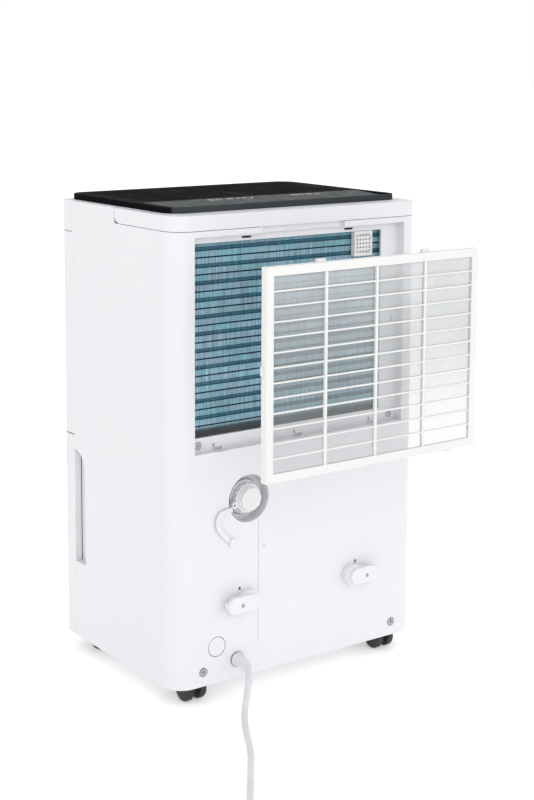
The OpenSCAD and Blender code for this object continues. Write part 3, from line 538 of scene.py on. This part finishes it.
def add_evaporator():
    """The evaporator: a folded block with thin upright fin edges in front of it, a few of them bent."""
    low, high = box_mm("evaporator_fins")
    front = band_profile(low.z, high.z, high.y)
    outline = [(low.y, low.z)] + front + [(low.y, high.z)]
    rings = [[(x, y, z) for y, z in outline] for x in (low.x, high.x)]
    block = add_mesh("evaporator_block", *skin_rings(rings), "casing", "fin_blue")
    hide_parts("evaporator_fins")

    edge = band_profile(low.z, high.z, high.y, RIB_PROUD)
    # Each dent: its middle, how far it reaches across and up, and how far it pushes the edges aside
    dents = [(random.uniform(low.x + 8, high.x - 8), random.uniform(low.z + 20, high.z - 10),
              random.uniform(*DENT_REACH_X), random.uniform(*DENT_REACH_Z),
              random.choice((-1, 1)) * random.uniform(*DENT_PUSH)) for i in range(DENTS)]

    def shifted(x, z):
        """A fin edge's place across, pushed aside in a dent."""
        push = 0.0
        for at_x, at_z, reach_x, reach_z, amount in dents:
            across = max(0.0, 1 - ((x - at_x) / reach_x) ** 2)
            up = max(0.0, 1 - ((z - at_z) / reach_z) ** 2)
            push += amount * across * up
        return x + push

    parts = []
    for i in range(int((high.x - low.x) / RIB_PITCH)):
        x = low.x + (i + 0.5) * RIB_PITCH + random.uniform(-RIB_WANDER, RIB_WANDER)
        rings = []
        for y, z in edge:
            left, right = shifted(x, z) - RIB_HALF, shifted(x, z) + RIB_HALF
            rings.append([(left, y - RIB_DEEP, z), (left, y, z), (right, y, z), (right, y - RIB_DEEP, z)])
        parts.append(skin_rings(rings))
    add_mesh("evaporator_fin_edges", *joined(parts), "casing", "fin_blue")


# ---- air filter --------------------------------------------------------------------------------

NET_PITCH = 1.0
NET_SHARE = (0.17, 0.58)            # thread width as a share of the pitch, at the bottom and at the top
NET_SIDES = 4
NET_FLAT = 0.35                     # a thread's depth as a share of its width
NET_LAYER = 0.12                    # how far each set of threads lies from the middle of the net
NET_HEIGHTS = 13                    # points along an upright thread


def thread(path, radii, across):
    """A thin flattened thread along points; across is the axis in the net's plane that it is wide along."""
    rings = []
    for (x, y, z), radius in zip(path, radii):
        ring = []
        for k in range(NET_SIDES):
            angle = 2 * math.pi * (k + 0.5) / NET_SIDES
            wide, deep = radius * math.cos(angle), NET_FLAT * radius * math.sin(angle)
            ring.append((x + wide, y + deep, z) if across == "x" else (x, y + deep, z + wide))
        rings.append(ring)
    return skin_rings(rings)


def add_net():
    """The filter's net: upright and level threads that are thick at the top and thin at the bottom."""
    low, high = box_mm("filter_mesh")
    middle_y = (low.y + high.y) / 2

    def half_width(z):
        """Half the width of a thread at a height."""
        share = smooth((z - low.z) / (high.z - low.z))
        return (NET_SHARE[0] + (NET_SHARE[1] - NET_SHARE[0]) * share) * NET_PITCH / 2

    heights = [low.z + (high.z - low.z) * i / (NET_HEIGHTS - 1) for i in range(NET_HEIGHTS)]
    widths = [half_width(z) for z in heights]
    parts = []
    for i in range(int((high.x - low.x) / NET_PITCH)):
        x = low.x + (i + 0.5) * NET_PITCH
        parts.append(thread([(x, middle_y + NET_LAYER, z) for z in heights], widths, "x"))
    for i in range(int((high.z - low.z) / NET_PITCH)):
        z = low.z + (i + 0.5) * NET_PITCH
        ends = [(x, middle_y - NET_LAYER, z) for x in (low.x, high.x)]
        parts.append(thread(ends, [half_width(z)] * len(ends), "z"))
    net = add_mesh("filter_net", *joined(parts), "filter", "filter_mesh")
    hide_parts("filter_mesh")


# ---- control strip -----------------------------------------------------------------------------

STRIP_TILT = math.radians(2)
MARK_THICK = 0.06                   # how far a mark stands above the strip
MARK_SUNK = 0.05                    # how far it reaches into the strip
MARK_ROW = 9.0                      # middle of the marks, from the strip's front edge
STROKE = 0.7                        # width of the lines of rings and digits
DISPLAY_X = -17
DIGIT_TALL = 5.4


def on_strip(x, y, lift):
    """A point over the sloped control strip; y is measured from its front edge."""
    low, high = box_mm("control_panel")
    return (x, low.y + y * math.cos(STRIP_TILT), high.z - y * math.sin(STRIP_TILT) + lift)


def slab_of(outline):
    """A thin flat solid over the strip whose outline is points (x, y)."""
    return skin_rings([[on_strip(x, y, lift) for x, y in outline] for lift in (-MARK_SUNK, MARK_THICK)])


def disc(x, y, radius, count=20):
    """A round dot on the strip."""
    turns = [2 * math.pi * k / count for k in range(count)]
    return slab_of([(x + radius * math.cos(a), y + radius * math.sin(a)) for a in turns])


def bar(x, y, width, height):
    """A rectangle on the strip."""
    return slab_of([(x + a * width / 2, y + b * height / 2) for a, b in ((-1, -1), (1, -1), (1, 1), (-1, 1))])


def arc(x, y, radius, thick, start=0, end=360, pieces=24):
    """A ring on the strip, or part of one between two angles, as short flat pieces."""
    made = []
    for k in range(pieces):
        a, b = (math.radians(start + (end - start) * (k + j) / pieces) for j in (0, 1))
        corners = ((radius, a), (radius + thick, a), (radius + thick, b), (radius, b))
        made.append(slab_of([(x + r * math.cos(t), y + r * math.sin(t)) for r, t in corners]))
    return made


def add_strip_marks():
    """Plain marks of the touch keys, their lamps and the display: rings, bars and dots."""
    parts = []
    for x in (62, 38, -46, -66):
        parts += arc(x, MARK_ROW, 3.2, STROKE)
        parts.append(disc(x, MARK_ROW, 1.1))
    for x in (52, -56):
        parts += arc(x, MARK_ROW, 2.8, STROKE, 130, 410)
        parts.append(bar(x, MARK_ROW + 2.4, 0.8, 3.2))
    for x in (20, -78):
        parts += [bar(x + k, MARK_ROW, 1.0, 5.2 - abs(k)) for k in (-2.4, 0, 2.4)]
    for x in (10, 28):
        parts.append(disc(x, MARK_ROW, 1.8))
    parts += [disc(x, MARK_ROW + 9, 0.7, 12) for x in (66, 62, 58, 24, 20, 16, -62, -66, -70)]
    add_mesh("strip_marks", *joined(parts), "casing", "inner_white")
    display = [bar(DISPLAY_X + x, MARK_ROW, STROKE, DIGIT_TALL) for x in (-6.6, -2.2, 2.2, 6.6)]
    display += [bar(DISPLAY_X + x, MARK_ROW + y, 3.4, STROKE)
                for x in (-4.4, 4.4) for y in (-DIGIT_TALL / 2, 0, DIGIT_TALL / 2)]
    add_mesh("strip_display", *joined(display), "casing", "tie_grey")


# ---- lead fittings -----------------------------------------------------------------------------

BOOT_PIECES = 18                    # straight pieces between two points of the route
BOOT_SIDES = 36
BOOT_RIBS = 6
BOOT_RIB_HIGH = 0.3
BOOT_PLAIN = 0.08                   # share of the boot's length without ribs at each end
BOOT_R = (5.75, 4.15)               # at the flange and at the thin end, midway between ribs and grooves
FLANGE_THICK = 1.6
FLANGE_R = (7.5, 7.95, 7.4)         # at the wall, at its widest and at its front
NECK_R = 5.9                        # of the neck that passes through the flange
# Outside this radius the flange's rim is painted grey as shade around the gland.
SHADED_RIM_R = 7.0                        # the flange is grey outside this radius


def add_boot():
    """The gland's flange and its tapered, ribbed strain relief, which curves along the lead's route."""
    gland_x, z = ROUTE[1][0], ROUTE[1][2]
    wall_y = box_mm("rear_housing")[1].y
    front_y = wall_y + FLANGE_THICK
    rim = [(wall_y - 2, NECK_R), (wall_y + 0.1, NECK_R), (wall_y + 0.1, FLANGE_R[0]),
           (wall_y + 0.5, FLANGE_R[1]), (wall_y + 1.1, FLANGE_R[1]),
           (front_y, FLANGE_R[2]), (front_y, NECK_R)]
    curve = smooth_line([Vector(p) for p in ROUTE], BOOT_PIECES)
    curve = curve[BOOT_KNOTS[0] * BOOT_PIECES:BOOT_KNOTS[1] * BOOT_PIECES + 1]
    curve = [point for point in curve if point.y > front_y + 0.1]
    line = [Vector((gland_x, y, z)) for y, radius in rim] + curve
    radii = [radius for y, radius in rim]
    for i in range(len(curve)):
        share = i / (len(curve) - 1)
        ribbed = BOOT_PLAIN < share < 1 - BOOT_PLAIN
        rib = math.copysign(BOOT_RIB_HIGH, math.sin(2 * math.pi * BOOT_RIBS * share)) if ribbed else 0
        radii.append(BOOT_R[0] + (BOOT_R[1] - BOOT_R[0]) * share + rib)
    line.append(curve[-1])
    radii.append(CORD_D / 2 - 0.2)
    boot = add_mesh("strain_relief", *skin_rings(tube_rings(line, radii, BOOT_SIDES)), "casing", "cord_white",
                    smooth_shading=True)
    boot.data.materials.append(FINISH["flange_shadow_grey"])
    # painted shade: the flange's rim takes the dark grey finish as the shadow around the gland
    for face in boot.data.polygons:
        out = math.hypot(face.center.x - gland_x * MM, face.center.z - z * MM)
        if face.center.y < (front_y + 0.1) * MM and out > SHADED_RIM_R * MM:
            face.material_index = 1
    split_edges(boot, 40)
    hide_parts("cord_gland")
    return boot


PLUG_AT = TAIL[-1]                  # where the lead enters the plug
# Along the plug: (distance, half width, half height, squareness)
PLUG_SECTIONS = [(0, 4.1, 4.1, 2), (1, 4.6, 4.6, 2), (4, 5.0, 5.0, 2), (8, 6.2, 6.2, 2.2),
                 (10.5, 8.6, 8.0, 2.6), (13.5, 10.3, 9.3, 3.2), (18, 10.9, 9.8, 4), (24, 10.2, 9.5, 4),
                 (31, 10.2, 9.5, 4), (36, 10.9, 9.8, 4.2), (39.4, 10.9, 9.8, 4.4), (40, 10.4, 9.4, 4.4),
                 (40.2, 9.5, 9.0, 4.4), (43.4, 9.5, 9.0, 4.4), (44, 9.0, 8.5, 4.4)]
PLUG_SIDES = 48
GRIP_RIBS = 5                       # on each side of the plug
GRIP_START = 22.5                   # from where the lead enters the plug to the first rib
GRIP_PITCH = 2.5
GRIP_HALF = 6                       # half the height of a rib
# Section of a rib: (out from the plug's middle, along the plug)
GRIP_SECTION = [(9.6, -0.6), (11, -0.4), (11, 0.4), (9.6, 0.6)]


def add_plug():
    """The moulded plug: a round neck that swells into a square-shouldered body with ribs in its waist."""

    def on_plug(x, along, z):
        """A point seen from where the lead enters the plug."""
        return from_coil(PLUG_AT[0] + x, PLUG_AT[1] + along, PLUG_AT[2] + z) / MM

    rings = []
    for along, wide, high, square in PLUG_SECTIONS:
        ring = []
        for k in range(PLUG_SIDES):
            a = 2 * math.pi * k / PLUG_SIDES
            c, s = math.cos(a), math.sin(a)
            x = wide * math.copysign(abs(c) ** (2 / square), c)
            z = high * math.copysign(abs(s) ** (2 / square), s)
            ring.append(on_plug(x, along, z))
        rings.append(ring)
    parts = [skin_rings(rings)]
    for i in range(GRIP_RIBS):
        along = GRIP_START + GRIP_PITCH * i
        for side in (-1, 1):
            parts.append(skin_rings([[on_plug(side * out, along + step, z) for out, step in GRIP_SECTION]
                                     for z in (-GRIP_HALF, GRIP_HALF)]))
    plug = add_mesh("mains_plug", *joined(parts), "casing", "cord_white", smooth_shading=True)
    split_edges(plug, 50)
    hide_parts("power_plug")
    return plug


# ---- CAD nodes ---------------------------------------------------------------------------------

# How far the edges that show are rounded, in millimetres
EDGE_WIDTHS = {
    "rear_housing": 0.5, "front_panel": 0.6, "top_frame": 0.7, "carry_handle": 0.8, "tank_front": 0.6,
    "filter_frame": 0.45, "cord_hook_left": 0.9, "cord_hook_right": 0.9, "drain_cap": 0.5,
    "tether_anchor": 0.8, "cord_knockout": 0.4, "humidity_sensor_cover": 0.3, "top_grille": 0.4,
    "coil_tie": 0.4, "plug_pins": 0.5, "housing_screws": 0.25, "recess_screws": 0.25,
    "caster_fork_front_left": 0.6, "caster_fork_front_right": 0.6,
    "caster_fork_rear_left": 0.6, "caster_fork_rear_right": 0.6,
}


def dress_cad():
    """Gives every CAD node the finish of its slot, and rounds the edges that show."""
    for part in frame["record"]["subparts"]:
        data = CAD[part["node"]].data
        data.materials.clear()
        data.materials.append(FINISH[part["material_slot"]])
    for node, width in EDGE_WIDTHS.items():
        soften(node, width)


# ---- studio ------------------------------------------------------------------------------------

FLOOR_SIZE = 40                     # in metres


def add_softbox(name, at, target, size, watts):
    """A rectangular lamp at a place, turned to a target, in metres."""
    data = bpy.data.lights.new(name, "AREA")
    data.shape = "RECTANGLE"
    data.size, data.size_y = size
    data.energy = watts
    light = bpy.data.objects.new(name, data)
    light.location = at
    light.rotation_mode = "QUATERNION"
    light.rotation_quaternion = (Vector(target) - Vector(at)).to_track_quat("-Z", "Y")
    bpy.context.scene.collection.objects.link(light)


def add_studio():
    """A pale room of even light, a white floor, a softbox above and behind the camera, and a weaker one
    far to its right."""
    scene = bpy.context.scene
    scene.view_settings.view_transform = "Standard"
    scene.world = bpy.data.worlds.new("studio")
    scene.world.use_nodes = True
    sky = scene.world.node_tree.nodes["Background"]
    sky.inputs["Color"].default_value = (1, 1, 1, 1)
    sky.inputs["Strength"].default_value = 1.0
    bpy.ops.mesh.primitive_plane_add(size=FLOOR_SIZE)
    floor = bpy.context.object
    floor.name = "floor"
    paper = skin("floor_paper", [(0.9, 0.9, 0.9), (0.91, 0.91, 0.91)], (0.8, 0.9), patch=2, grain=300,
                 depth=0.05, Specular_IOR_Level=0.0, Emission_Color=(1, 1, 1, 1), Emission_Strength=0.3)
    floor.data.materials.append(paper)
    add_softbox("key", (0.85, 2.0, 1.15), (0, 0, 0.3), (1.3, 1.3), 9)
    add_softbox("fill", (-1.6, 2.0, 1.0), (0, 0, 0.3), (1.2, 1.2), 3)


# ---- the whole ---------------------------------------------------------------------------------

add_camera()
FINISH = make_finishes()
lead, lead_line = add_lead()
boot = add_boot()
plug = add_plug()
dress_cad()
add_evaporator()
add_net()
add_strip_marks()
add_studio()
